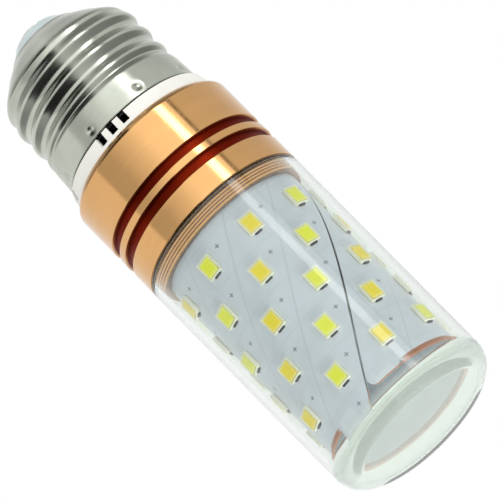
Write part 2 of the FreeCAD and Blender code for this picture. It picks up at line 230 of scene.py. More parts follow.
class Nodes:
    """Builds the shader nodes of one tree."""

    def __init__(self, tree):
        self.tree = tree
        self.tree.nodes.clear()

    def add(self, kind, **settings):
        """A new node. Settings are its own properties."""
        node = self.tree.nodes.new("ShaderNode" + kind)
        for name, value in settings.items():
            setattr(node, name, value)
        return node

    def join(self, source, target):
        """Links a source socket, or sets a plain value."""
        if isinstance(source, bpy.types.NodeSocket):
            self.tree.links.new(source, target)
        else:
            target.default_value = source

    def tint(self, source, target):
        """Feeds a colour socket with another node's socket or a plain colour."""
        self.join(source if isinstance(source, bpy.types.NodeSocket) else (*source, 1.0), target)

    def math(self, operation, first, second=0.0):
        """The result of a Math node."""
        node = self.add("Math", operation=operation)
        for socket, value in zip(node.inputs, (first, second)):
            self.join(value, socket)
        return node.outputs[0]

    def inverse(self, value):
        """1 less a value."""
        return self.math("SUBTRACT", 1.0, value)

    def span(self, value, low, high, start=0.0, end=1.0):
        """A value mapped smoothly from one range to another and held there."""
        node = self.add("MapRange", interpolation_type="SMOOTHSTEP")
        for socket, given in zip(node.inputs, (value, low, high, start, end)):
            self.join(given, socket)
        return node.outputs[0]

    def apart(self, value, centre):
        """How far a value is from a centre."""
        return self.math("ABSOLUTE", self.math("SUBTRACT", value, centre))

    def within(self, value, centre, half, soft):
        """1 where a value lies within half of a centre, with a soft edge."""
        return self.span(self.apart(value, centre), half - soft, half + soft, 1.0, 0.0)

    def blend(self, share, first, second):
        """A colour between two others."""
        node = self.add("Mix", data_type="RGBA")
        self.join(share, node.inputs[0])
        self.tint(first, node.inputs[6])
        self.tint(second, node.inputs[7])
        return node.outputs[2]

    def mixed(self, share, first, second):
        """A shader between two others."""
        node = self.add("MixShader")
        for socket, given in zip(node.inputs, (share, first, second)):
            self.join(given, socket)
        return node.outputs[0]

    def split(self, vector):
        """The three parts of a vector."""
        node = self.add("SeparateXYZ")
        self.join(vector, node.inputs[0])
        return node.outputs[:]

    def from_front(self, x, y):
        """Angle of a direction from the front, about the bulb's axis."""
        return self.math("ARCTAN2", x, self.math("MULTIPLY", y, -1.0))


class Finish(Nodes):
    """A procedural material: one Principled surface and the nodes that feed it."""

    def __init__(self, name, **values):
        self.material = bpy.data.materials.new(name)
        self.material.use_nodes = True
        super().__init__(self.material.node_tree)
        self.output = self.add("OutputMaterial")
        self.surface = self.add("BsdfPrincipled")
        self.show(self.surface.outputs["BSDF"])
        for socket, value in values.items():
            self.put(socket.replace("_", " ").title().replace("Ior", "IOR"), value)
        self.place = self.add("TexCoord").outputs["Object"]

    def show(self, shader):
        """Makes a shader the one that is seen."""
        self.join(shader, self.output.inputs["Surface"])

    def put(self, socket, value):
        """Feeds a socket of the surface with a value, a colour or another node's socket."""
        feed = self.tint if hasattr(value, "__len__") else self.join
        feed(value, self.surface.inputs[socket])

    def noise(self, scale, detail=3.0, stretch=(1.0, 1.0, 1.0)):
        """Noise over the object, stretched along an axis where its share is small."""
        mapping = self.add("Mapping")
        self.join(self.place, mapping.inputs["Vector"])
        mapping.inputs["Scale"].default_value = stretch
        node = self.add("TexNoise")
        self.join(mapping.outputs[0], node.inputs["Vector"])
        node.inputs["Scale"].default_value = scale
        node.inputs["Detail"].default_value = detail
        return node.outputs["Fac"]

    def patches(self, scale, detail=3.0, stretch=(1.0, 1.0, 1.0)):
        """Soft patches, from 0 to 1."""
        return self.span(self.noise(scale, detail, stretch), 0.3, 0.7)

    def shaded(self, share, tone, level):
        """A colour that goes down to a level of itself where share is 1."""
        return self.blend(share, tone, [level * c for c in tone])

    def reach(self):
        """Distance from the bulb's axis."""
        x, y = self.split(self.place)[:2]
        return self.math("SQRT", self.math("ADD", self.math("MULTIPLY", x, x), self.math("MULTIPLY", y, y)))

    def angle(self):
        """Angle from the front."""
        return self.from_front(*self.split(self.place)[:2])

    def height(self):
        """Height above the cover's closed end."""
        return self.split(self.place)[2]

    def bump(self, height, strength, distance):
        """Relief from a height."""
        node = self.add("Bump")
        node.inputs["Strength"].default_value = strength
        node.inputs["Distance"].default_value = distance
        self.join(height, node.inputs["Height"])
        self.put("Normal", node.outputs[0])


def spin_round(bm, steps):
    """Spins a line of edges once round the bulb's axis."""
    bmesh.ops.spin(bm, geom=bm.verts[:] + bm.edges[:], cent=(0, 0, 0), axis=(0, 0, 1), dvec=(0, 0, 0),
                   angle=math.tau, steps=steps, use_merge=True, use_duplicate=False)
    bmesh.ops.remove_doubles(bm, verts=bm.verts[:], dist=JOINED)


def turned(profile, steps, closed):
    """A surface turned from an (r, z) profile."""
    bm = bmesh.new()
    verts = [bm.verts.new((r, 0.0, z)) for r, z in profile]
    pairs = list(zip(verts, verts[1:]))
    if closed:
        pairs.append((verts[-1], verts[0]))
    for pair in pairs:
        bm.edges.new(pair)
    spin_round(bm, steps)
    bmesh.ops.recalc_face_normals(bm, faces=bm.faces[:])
    return bm


def round_edges(bm, edges, amount, segments):
    """Rounds edges of a mesh."""
    bmesh.ops.bevel(bm, geom=edges, offset=amount, offset_type="OFFSET", affect="EDGES", segments=segments,
                    profile=0.5, material=-1)


def round_ring(bm, radius, z, amount, segments):
    """Rounds the circular edge at a radius and height."""
    ring = []
    for edge in bm.edges:
        if all(abs(v.co.xy.length - radius) < SAME and abs(v.co.z - z) < SAME for v in edge.verts):
            ring.append(edge)
    if not ring:
        raise RuntimeError("no edge to round at %.5f, %.5f" % (radius, z))
    round_edges(bm, ring, amount, segments)


def add_piece(bm, name, finish, nodes=(), sharp=40.0):
    """Makes the object of a finished mesh, on the bulb's one body."""
    mesh = bpy.data.meshes.new(name)
    bm.to_mesh(mesh)
    bm.free()
    mesh.shade_smooth()
    mesh.set_sharp_from_angle(angle=math.radians(sharp))
    mesh.materials.append(finish)
    piece = bpy.data.objects.new(name, mesh)
    bpy.context.scene.collection.objects.link(piece)
    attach(piece, "root")
    if nodes:
        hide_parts(*nodes)
    return piece


def dress(finish, *nodes):
    """Gives solids a finish."""
    for name in nodes:
        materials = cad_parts[name].data.materials
        materials.clear()
        materials.append(finish)


def clear_plastic(colours, sizes):
    """Clear moulded plastic, slightly milky at its closed end, that lets lamps reach what it covers."""
    made = Finish("clear_moulded_plastic", ior=1.49)
    clear = made.span(made.height(), sizes.milky, sizes.clear)
    made.put("Base Color", made.blend(clear, colours.cover_end, colours.cover))
    made.put("Transmission Weight", made.span(clear, 0.0, 1.0, sizes.clarity, 1.0))
    made.put("Roughness", made.span(made.noise(60.0), 0.35, 0.75, 0.0, 0.035))
    made.bump(made.noise(90.0, 1.0, (1.0, 1.0, 0.15)), 0.05, 0.4 * MM)
    passing = made.add("BsdfTransparent")
    made.tint(colours.cover_light, passing.inputs["Color"])
    lamp_ray = made.add("LightPath").outputs["Is Shadow Ray"]
    made.show(made.mixed(lamp_ray, made.surface.outputs[0], passing.outputs[0]))
    return made.material


def anodised_gold(colours, sizes):
    """Polished rose gold with turning marks, rougher in the grooves, and painted shade in the grooves and in
    the spigot's fine rings.
    """
    made = Finish("anodised_rose_gold", metallic=1.0, anisotropic=0.8, anisotropic_rotation=0.25,
                  coat_roughness=0.1, coat_ior=1.65)
    reach, z = made.reach(), made.height()
    tone = made.shaded(made.patches(40.0, 4.0, (1.0, 1.0, 6.0)), colours.gold, 0.9)
    # The grooves lie between the shoulder and the rear bevel, and the fine rings before the shoulder.
    behind = made.span(z, sizes.front, sizes.front + 0.4 * MM)
    bevel = sleeve_high.z - sizes.edge
    ahead = made.span(z, bevel - 0.6 * MM, bevel - 0.3 * MM, 1.0, 0.0)
    # A darker colour near the floors of the grooves and of the spigot's fine rings is painted shade.
    sunk = made.span(reach, sizes.radius - 0.7 * sizes.groove, sizes.radius - 0.15 * sizes.groove, 1.0, 0.0)
    grooved = made.math("MULTIPLY", sunk, made.math("MULTIPLY", behind, ahead))
    ring_floor = sizes.spigot - sizes.ring_depth
    ring = made.span(reach, ring_floor, ring_floor + 0.8 * sizes.ring_depth, 0.85, 0.0)
    tone = made.blend(made.math("MULTIPLY", ring, made.inverse(behind)), tone, colours.ring)
    made.put("Base Color", made.blend(grooved, tone, colours.groove))
    made.put("Coat Weight", made.math("MULTIPLY", made.inverse(grooved), 0.5))
    marks = made.noise(900.0, 2.0, (0.03, 0.03, 4.0))
    rough = made.span(marks, 0.2, 0.8, 0.1, 0.2)
    made.put("Roughness", made.math("ADD", rough, made.math("MULTIPLY", grooved, 0.35)))
    made.bump(marks, 0.12, 0.02 * MM)
    made.put("Tangent", made.add("Tangent", direction_type="RADIAL", axis="Z").outputs[0])
    return made.material


def nickel_plate(colours):
    """Bright plated sheet with faint drawing marks and handling haze."""
    made = Finish("nickel_plate", metallic=1.0)
    haze = made.noise(160.0, 4.0)
    made.put("Base Color", made.shaded(made.span(haze, 0.3, 0.7), colours.plate, 0.86))
    marks = made.noise(700.0, 2.0, (0.05, 0.05, 2.0))
    wear = made.math("ADD", marks, made.math("MULTIPLY", haze, 0.6))
    made.put("Roughness", made.span(wear, 0.5, 1.1, 0.16, 0.28))
    made.bump(marks, 0.08, 0.02 * MM)
    return made.material


def white_plastic(colours):
    """Moulded white plastic, with painted shade on the faces that lie deeper than the collar's outside: the
    walls of the slots and the gap under the shell's rim.
    """
    made = Finish("moulded_white_plastic", roughness=0.38)
    collar = shell_high.x + 0.4 * MM
    dark, shaded = collar - 0.9 * MM, collar - 0.35 * MM
    # Faces deeper than the collar's outside go near-black: painted shade in the slots and in the gap under
    # the shell's rim.
    painted_shade_share = made.span(made.reach(), dark, shaded, 1.0, 0.0)
    tone = made.shaded(made.patches(300.0), colours.plastic, 0.95)
    made.put("Base Color", made.blend(painted_shade_share, tone, colours.recess_shade))
    made.bump(made.noise(2500.0, 2.0), 0.06, 0.03 * MM)
    return made.material


def rings_up(made, leds):
    """Height above the lowest ring of LEDs, counted in rings."""
    return made.math("DIVIDE", made.math("SUBTRACT", made.height(), leds.lowest), leds.pitch)


def off_column(made, leds, rings):
    """Distance round the board from the nearest column, where it is that many rings up."""
    turned_back = made.math("SUBTRACT", made.angle(), leds.start)
    untwisted = made.math("SUBTRACT", turned_back, made.math("MULTIPLY", rings, leds.twist))
    column = made.math("DIVIDE", untwisted, COLUMN_STEP)
    off = made.math("SUBTRACT", column, made.math("ROUND", column))
    return made.math("MULTIPLY", off, COLUMN_STEP * leds.board)


def off_led(made, leds):
    """Distance from the centre of the nearest LED: round the board and along it."""
    ring = rings_up(made, leds)
    nearest = made.math("ROUND", ring)
    along = made.math("MULTIPLY", made.math("SUBTRACT", ring, nearest), leds.pitch)
    return off_column(made, leds, nearest), along


def rectangle(made, place, centre, size, soft):
    """1 inside a rectangle on the board, with soft edges."""
    sides = [made.within(at, middle, full / 2.0, soft) for at, middle, full in zip(place, centre, size)]
    return made.math("MULTIPLY", *sides)


def white_board(colours, leds):
    """White solder mask over slanted copper, with polarity marks, bare cut edges and painted shade along the
    slit.
    """
    made = Finish("white_solder_mask", roughness=0.32, coat_weight=0.25, coat_roughness=0.2)
    place = off_led(made, leds)
    soft = 0.04 * MM
    tone = made.shaded(made.patches(220.0, 4.0), colours.board, 0.93)
    # Copper columns and pads show through the mask.
    gap_half, gap_floor, cross_half = 0.22 * MM, 0.1 * MM, 0.14 * MM
    slant = made.math("ABSOLUTE", off_column(made, leds, rings_up(made, leds)))
    half_step = COLUMN_STEP * leds.board / 2.0
    gap = made.span(slant, half_step - gap_half, half_step - gap_floor)
    cross_gap = made.within(made.math("ABSOLUTE", place[1]), leds.pitch / 2.0, cross_half, soft)
    gaps = made.math("MAXIMUM", gap, made.math("MULTIPLY", cross_gap, 0.5))
    tone = made.blend(made.math("MULTIPLY", gaps, 0.35), tone, [0.7 * c for c in colours.board])
    pad_size, pad_soft = (3.5 * MM, 4.6 * MM), 0.1 * MM
    pad = rectangle(made, place, (0.0, 0.0), pad_size, pad_soft)
    tone = made.blend(made.math("MULTIPLY", pad, 0.35), tone, colours.pad)
    # A printed cross beside each LED marks its polarity.
    mark_place, mark_line = (3.15 * MM, 1.4 * MM), (0.84 * MM, 0.18 * MM)
    lines = [rectangle(made, place, mark_place, size, soft) for size in (mark_line, mark_line[::-1])]
    tone = made.blend(made.math("MULTIPLY", made.math("MAXIMUM", *lines), 0.8), tone, colours.mark)
    # A strip along the end is bare, apart from its masked part, which is given in radians.
    z = made.height()
    strip_top = leds.end + leds.margin
    masked_half, masked_soft = 0.6, 0.06
    strip = made.span(z, strip_top - soft, strip_top + soft, 1.0, 0.0)
    masked = made.within(made.angle(), leds.masked, masked_half, masked_soft)
    tone = made.blend(made.math("MULTIPLY", strip, made.inverse(masked)), tone, colours.board_edge)
    # The mask covers both faces. The cut edges between them are bare, and a little above the end they turn
    # dark grey along the slit: painted shade in the narrow slit.
    half_wall, mask = 0.45 * MM, 0.09 * MM
    slit_start, slit_dark = leds.end + 0.3 * MM, leds.end + 1.1 * MM
    cut = made.within(made.reach(), leds.board - half_wall, half_wall - mask, soft)
    bare = made.blend(made.span(z, slit_start, slit_dark), colours.board_edge, colours.slit)
    made.put("Base Color", made.blend(cut, tone, bare))
    made.bump(made.math("SUBTRACT", made.math("MULTIPLY", pad, 0.6), gap), 0.25, 0.05 * MM)
    return made.material


def phosphor(name, core, leds):
    """Silicone with phosphor: deep in the middle of the window, paler at its edges."""
    made = Finish(name, roughness=0.35, ior=1.3)
    shares = [made.math("DIVIDE", made.math("ABSOLUTE", off), size / 2.0)
              for off, size in zip(off_led(made, leds), (leds.window_width, leds.window_length))]
    edge = made.span(made.math("MAXIMUM", *shares), 0.6, 1.1)
    pale = [c + (1.0 - c) * 0.22 for c in core]
    grains = made.span(made.noise(3000.0, 2.0), 0.25, 0.75)
    tone = made.shaded(made.math("MULTIPLY", grains, 0.3), core, 0.85)
    made.put("Base Color", made.blend(edge, tone, pale))
    made.bump(made.noise(2200.0, 2.0), 0.1, 0.03 * MM)
    return made.material


def resin(name, tone, level, scale, **values):
    """Pale moulded resin with faint clouds."""
    made = Finish(name, **values)
    made.put("Base Color", made.shaded(made.patches(scale), tone, level))
    return made.material


def solder_painted_shade(colours):
    """Solder in a dark metal that stands for the shade at the LEDs' ends: painted shade, with a duller skin
    in places.
    """
    made = Finish("solder_joints_painted_shade", metallic=1.0)
    skin = made.span(made.noise(1200.0), 0.35, 0.7)
    # The solder's dark metal colour is painted shade.
    made.put("Base Color", made.shaded(skin, colours.solder, 0.5))
    made.put("Roughness", made.span(skin, 0.0, 1.0, 0.15, 0.4))
    return made.material


def plain_finish(name, screen, rough, scale, metallic=0.0, shade=0.8):
    """A mottled finish with a little relief, for the contact and the parts inside."""
    made = Finish(name, metallic=metallic)
    mottle = made.patches(scale)
    made.put("Base Color", made.shaded(mottle, srgb(*screen), shade))
    made.put("Roughness", made.span(mottle, 0.0, 1.0, rough, rough + 0.12))
    made.bump(mottle, 0.1, 0.05 * MM)
    return made.material


def banded_finish(name, screen, band, rough, axis, start, repeat, width):
    """Bands across an axis, as on a resistor or a winding. Width is half a band's share of a repeat."""
    made = Finish(name, roughness=rough)
    steps = made.math("DIVIDE", made.math("SUBTRACT", made.split(made.place)[axis], start), repeat)
    line = made.within(steps, made.math("ROUND", steps), width, 0.04)
    tone = made.shaded(made.patches(700.0), srgb(*screen), 0.85)
    made.put("Base Color", made.blend(line, tone, srgb(*band)))
    made.bump(line, 0.2, 0.05 * MM)
    return made.material


class BULB_OT_clear_cover(bpy.types.Operator):
    """Moulds the clear cover with its rounded closed end"""

    bl_idname = "bulb.clear_cover"
    bl_label = "Clear cover"

    def execute(self, context):
        sizes = context.scene.bulb_cover
        outside, bore = sizes.radius, sizes.radius - sizes.wall
        corner, inner = sizes.corner, sizes.corner - sizes.wall
        end, rim = sizes.end, sizes.length
        below_rim = rim - sizes.rim - NEAR
        bm = turned([(0.0, 0.0), (outside - corner - NEAR, 0.0), (outside, 0.0), (outside, corner + NEAR),
                     (outside, below_rim), (outside, rim), (bore, rim), (bore, below_rim),
                     (bore, end + inner + NEAR), (bore, end), (bore - inner - NEAR, end), (0.0, end)],
                    steps=160, closed=False)
        round_ring(bm, outside, 0.0, corner, segments=14)
        round_ring(bm, bore, end, inner, segments=10)
        round_ring(bm, outside, rim, sizes.rim, segments=2)
        round_ring(bm, bore, rim, sizes.rim, segments=2)
        finish = clear_plastic(context.scene.bulb_colours, sizes)
        add_piece(bm, "cover_tube", finish, ["clear_cover"])
        return {"FINISHED"}


class BULB_OT_gold_sleeve(bpy.types.Operator):
    """Turns the gold sleeve with its grooves and the fine rings of its spigot"""

    bl_idname = "bulb.gold_sleeve"
    bl_label = "Gold sleeve"

    def spigot(self, sizes):
        """The (r, z) points of the spigot, with its fine rings."""
        low, chamfer = sleeve_low.z, 0.15 * MM
        crest, root = sizes.spigot, sizes.spigot - sizes.ring_depth
        third = sizes.ring_width / 3.0
        points = [(sizes.bore, low), (crest - chamfer, low), (crest, low + chamfer)]
        z = low + sizes.ring_room
        while z + sizes.ring_room < sizes.front:
            points += [(crest, z), (root, z + third), (root, z + 2.0 * third), (crest, z + 3.0 * third)]
            z += sizes.ring_pitch
        return [*points, (crest, sizes.front)]

    def execute(self, context):
        sizes = context.scene.bulb_sleeve
        high = sleeve_high.z
        outside, floor = sizes.radius, sizes.radius - sizes.groove
        beside = sizes.rounding + NEAR
        profile = self.spigot(sizes)
        profile += [(outside - sizes.lip, sizes.front), (outside, sizes.front + sizes.lip)]
        edges = []
        # Each groove's start behind the shoulder, and its width.
        for offset, width in ((4.6 * MM, 1.8 * MM), (7.8 * MM, 1.7 * MM)):
            start = sizes.front + offset
            end = start + width
            profile += [(outside, start - beside), (outside, start), (floor, start), (floor, start + beside),
                        (floor, end - beside), (floor, end), (outside, end), (outside, end + beside)]
            edges += [start, end]
        bevel = high - sizes.edge
        profile += [(outside, bevel - sizes.easing - NEAR), (outside, bevel), (outside - sizes.edge, high),
                    (sizes.bore, high)]
        bm = turned(profile, steps=192, closed=True)
        for z in edges:
            round_ring(bm, outside, z, sizes.rounding, segments=2)
            round_ring(bm, floor, z, sizes.rounding, segments=2)
        round_ring(bm, outside, bevel, sizes.easing, segments=3)
        finish = anodised_gold(context.scene.bulb_colours, sizes)
        add_piece(bm, "sleeve_turned", finish, ["heat_sleeve"])
        return {"FINISHED"}


class BULB_OT_screw_cap(bpy.types.Operator):
    """Rolls the screw shell with its knuckle thread and crimps, and finishes the tip"""

    bl_idname = "bulb.screw_cap"
    bl_label = "Screw cap"

    @staticmethod
    def along(points, z):
        """Radius on a chain of (z, r) points, with its corners eased."""
        easing, steps = 0.3 * MM, (-2, -1, 0, 1, 2)
        total = 0.0
        for step in steps:
            at = min(max(z + step * easing, points[0][0]), points[-1][0])
            for (z0, r0), (z1, r1) in zip(points, points[1:]):
                if at <= z1:
                    total += r0 + (r1 - r0) * (at - z0) / (z1 - z0)
                    break
        return total / len(steps)

    @staticmethod
    def soft_max(first, second, reach):
        """The larger of two radii, rounded where they meet."""
        near = max(reach - abs(first - second), 0.0) / reach
        return max(first, second) + near * near * reach / 4.0

    def chains(self, sizes):
        """The (z, r) points above the rim of the plain sheet, and of the limit that the ridge keeps to."""
        root = sizes.crest - sizes.depth
        tall = shell_high.z - shell_low.z
        dome, brow, crown = tall - sizes.dome, tall - 5.0 * MM, tall - 2.0 * MM
        brow_radius, brow_sunk = 12.45 * MM, 11.95 * MM
        crown_radius, crown_sunk = 9.25 * MM, 9.125 * MM
        plain = [(0.0, sizes.rim), (sizes.skirt, sizes.crest), (sizes.skirt + sizes.depth, root),
                 (dome + sizes.depth, root), (brow, brow_sunk), (crown, crown_sunk), (tall, sizes.lip)]
        # The limit stands clear of the thread until it closes on the dome.
        far, clear, closing = 20.0 * MM, 13.6 * MM, 1.0 * MM
        limit = [(0.0, far), (dome - closing, clear), (dome, sizes.crest), (brow, brow_radius),
                 (crown, crown_radius), (tall, sizes.lip)]
        return plain, limit

    def radius(self, sizes, plain, limit, angle, z):
        """Radius of the rolled sheet at an angle from the front and a height above the rim."""
        lead, run_in, run_out, blend = 0.1, 0.25, 0.35, 0.22 * MM
        around = angle / math.tau
        turns = (z - sizes.first) / sizes.pitch - around
        wave = 0.5 + 0.5 * math.cos(math.tau * (turns - round(turns)))
        done = round(turns) + around
        rise = min(max((done + lead) / run_in, 0.0), 1.0)
        fall = min(max((sizes.turns - done) / run_out, 0.0), 1.0)
        ridge = sizes.crest - sizes.depth + sizes.depth * wave * rise * fall
        bounded = -self.soft_max(-self.along(limit, z), -ridge, blend)
        radius = self.soft_max(self.along(plain, z), bounded, blend)
        step = math.tau / sizes.dents
        away = (angle - sizes.dent_angle) / step
        sideways = (away - round(away)) * step * sizes.rim
        spread = (sideways ** 2 + (z - sizes.dent_height) ** 2) / sizes.dent_radius ** 2
        return radius - sizes.dent_depth * math.exp(-spread)

    def shell(self, sizes):
        """The sheet's outside: a plain tube shaped point by point, with its lip turned in."""
        plain, limit = self.chains(sizes)
        bm = bmesh.new()
        ends = [bm.verts.new((sizes.rim, 0.0, z)) for z in (shell_low.z, shell_high.z)]
        line = bm.edges.new(ends)
        bmesh.ops.subdivide_edges(bm, edges=[line], cuts=119)
        spin_round(bm, steps=288)
        for vert in bm.verts:
            angle = math.atan2(vert.co.x, -vert.co.y) % math.tau
            radius = self.radius(sizes, plain, limit, angle, vert.co.z - shell_low.z)
            vert.co.x = radius * math.sin(angle)
            vert.co.y = -radius * math.cos(angle)
        top = [e for e in bm.edges if e.is_boundary and e.verts[0].co.z > shell_high.z - SAME]
        made = bmesh.ops.extrude_edge_only(bm, edges=top)["geom"]
        lip = [item for item in made if isinstance(item, bmesh.types.BMVert)]
        inward = (sizes.lip - sizes.lip_width) / lip[0].co.xy.length
        bmesh.ops.scale(bm, vec=(inward, inward, 1.0), verts=lip)
        bmesh.ops.recalc_face_normals(bm, faces=bm.faces[:])
        return bm

    def insulator(self, lip):
        """The ring that the shell's lip holds."""
        hole, plug, top, rounding = 1.35 * MM, 5.85 * MM, 4.1 * MM, 0.8 * MM
        bm = turned([(hole, tip_low.z), (plug, tip_low.z), (plug, shell_high.z), (lip, shell_high.z),
                     (top, tip_high.z), (hole, tip_high.z)], steps=96, closed=True)
        round_ring(bm, top, tip_high.z, rounding, segments=5)
        return bm

    def contact(self):
        """A low rivet head on its shank."""
        shank, crown, edge, rounding = 1.3 * MM, 2.2 * MM, 0.25 * MM, 0.35 * MM
        rim, seat, top = contact_high.x, tip_high.z, contact_high.z
        bm = turned([(0.0, contact_low.z), (shank, contact_low.z), (shank, seat), (rim, seat),
                     (rim, seat + edge), (crown, top), (0.0, top)], steps=64, closed=False)
        round_ring(bm, crown, top, rounding, segments=4)
        return bm

    def execute(self, context):
        sizes = context.scene.bulb_cap
        colours = context.scene.bulb_colours
        plate = nickel_plate(colours)
        shell = add_piece(self.shell(sizes), "shell_rolled", plate, ["screw_shell"], sharp=60.0)
        sheet = shell.modifiers.new("sheet", "SOLIDIFY")
        sheet.thickness = sizes.wall
        sheet.offset = -1.0
        glossy = resin("insulator_resin", colours.insulator, 0.92, 250.0, roughness=0.2, coat_weight=0.4)
        add_piece(self.insulator(sizes.lip), "insulator_ring", glossy, ["cap_insulator"])
        tinned = plain_finish("tinned_contact", (196, 192, 180), rough=0.2, scale=900.0, metallic=1.0)
        add_piece(self.contact(), "contact_rivet", tinned, ["centre_contact"])
        return {"FINISHED"}


class BULB_OT_neck(bpy.types.Operator):
    """Finishes the white neck housing"""

    bl_idname = "bulb.neck"
    bl_label = "Neck housing"

    def execute(self, context):
        dress(white_plastic(context.scene.bulb_colours), "neck_housing")
        return {"FINISHED"}


class BULB_OT_led_board(bpy.types.Operator):
    """Finishes the rolled board and builds its LED packages and solder joints"""

    bl_idname = "bulb.led_board"
    bl_label = "LED board"

    def package(self, leds):
        """One LED frame at the front of the board, centred on z = 0."""
        bm = bmesh.new()
        bmesh.ops.create_cube(bm, size=1.0)
        bmesh.ops.scale(bm, vec=(leds.width, leds.height, leds.length), verts=bm.verts[:])
        front = min(bm.faces, key=lambda face: face.calc_center_median().y)
        bmesh.ops.inset_region(bm, faces=[front], thickness=(leds.width - leds.window_width) / 2.0)
        inset_length = leds.length - leds.width + leds.window_width
        bmesh.ops.scale(bm, vec=(1.0, 1.0, leds.window_length / inset_length), verts=front.verts[:])
        outer = [e for e in bm.edges if e.calc_face_angle(0.0) > 0.5 and e not in front.edges[:]]
        bmesh.ops.translate(bm, vec=(0.0, leds.recess, 0.0), verts=front.verts[:])
        round_edges(bm, outer, leds.edge, segments=2)
        bmesh.ops.translate(bm, vec=(0.0, -leds.board - leds.height / 2.0, 0.0), verts=bm.verts[:])
        return bm

    def joint(self, leds, end, reach):
        """Solder at one end of an LED: a wedge that runs from the board up the package."""
        width, height = 0.5 * leds.width, 0.55 * leds.height
        slope, rise, edge = 0.4 * leds.height, 0.27 * leds.height, 0.06 * MM
        bm = bmesh.new()
        bmesh.ops.create_cube(bm, size=1.0)
        bmesh.ops.scale(bm, vec=(width, height, reach), verts=bm.verts[:])
        far = [v for v in bm.verts if v.co.y < 0.0 and v.co.z * end > 0.0]
        bmesh.ops.translate(bm, vec=(0.0, slope, 0.0), verts=far)
        round_edges(bm, bm.edges[:], edge, segments=2)
        place = (0.0, -leds.board - rise, end * (leds.length + reach) / 2.0)
        bmesh.ops.translate(bm, vec=place, verts=bm.verts[:])
        return bm

    def column(self, bm, leds, number):
        """Winds one LED's mesh up the board into a whole column."""
        start = Matrix.Rotation(leds.start + COLUMN_STEP * number, 4, "Z")
        lowest = Matrix.Translation((0.0, 0.0, leds.lowest))
        bmesh.ops.transform(bm, matrix=lowest @ start, verts=bm.verts[:])
        bmesh.ops.spin(bm, geom=bm.verts[:] + bm.edges[:] + bm.faces[:], cent=(0, 0, 0), axis=(0, 0, 1),
                       dvec=(0.0, 0.0, leds.pitch), angle=leds.twist * (leds.rings - 1),
                       steps=leds.rings - 1, use_merge=False, use_duplicate=True)
        return bm

    def execute(self, context):
        leds = context.scene.bulb_leds
        colours = context.scene.bulb_colours
        dress(white_board(colours, leds), "led_board")
        warm = phosphor("warm_phosphor_gel", colours.warm, leds)
        cool = phosphor("cool_phosphor_gel", colours.cool, leds)
        pale = resin("led_frame_resin", colours.package, 0.94, 1500.0, roughness=0.35)
        solder = solder_painted_shade(colours)
        # The joints at an LED's two ends: the side they face, its direction along the bulb, and their reach.
        joints = (("cap", 1.0, 0.16 * MM), ("end", -1.0, 0.3 * MM))
        for number in range(LED_COLUMNS):
            row = number + 1
            dress(warm if row in WARM_COLUMNS else cool, "phosphor_row_%d" % row)
            frames = self.column(self.package(leds), leds, number)
            add_piece(frames, "led_frames_%d" % row, pale, ["led_row_%d" % row])
            for name, end, reach in joints:
                wedges = self.column(self.joint(leds, end, reach), leds, number)
                add_piece(wedges, "led_solder_%s_%d" % (name, row), solder)
        return {"FINISHED"}


class BULB_OT_driver(bpy.types.Operator):
    """Finishes the driver board, its components and the wires"""

    bl_idname = "bulb.driver"
    bl_label = "Driver"

    def execute(self, context):
        can_low, can_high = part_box("smoothing_capacitor")
        coil_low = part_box("choke_winding")[0]
        wrap = banded_finish("capacitor_wrap", (34, 38, 58), (196, 198, 204), rough=0.35, axis=0,
                             start=can_low.x, repeat=can_high.x - can_low.x, width=0.1)
        winding = banded_finish("enamelled_winding", (186, 98, 44), (110, 48, 20), rough=0.25, axis=1,
                                start=coil_low.y, repeat=0.25 * MM, width=0.2)
        lacquer = banded_finish("resistor_lacquer", (196, 172, 128), (96, 56, 30), rough=0.4, axis=0,
                                start=0.0, repeat=1.5 * MM, width=0.15)
        dress(wrap, "smoothing_capacitor")
        dress(winding, "choke_winding")
        dress(lacquer, "fuse_resistor")
        dress(plain_finish("green_laminate", (40, 104, 62), rough=0.4, scale=300.0), "driver_board")
        dress(plain_finish("ferrite_grey", (58, 58, 60), rough=0.5, scale=900.0, shade=0.75), "choke_core")
        dress(plain_finish("black_moulding", (32, 32, 34), rough=0.5, scale=1500.0, shade=0.75),
              "driver_chip", "bridge_rectifier")
        dress(plain_finish("red_insulation", (176, 32, 28), rough=0.4, scale=700.0, shade=0.85),
              "live_wire", "led_lead_left")
        dress(plain_finish("black_insulation", (34, 34, 36), rough=0.4, scale=700.0),
              "neutral_wire", "led_lead_right")
        return {"FINISHED"}


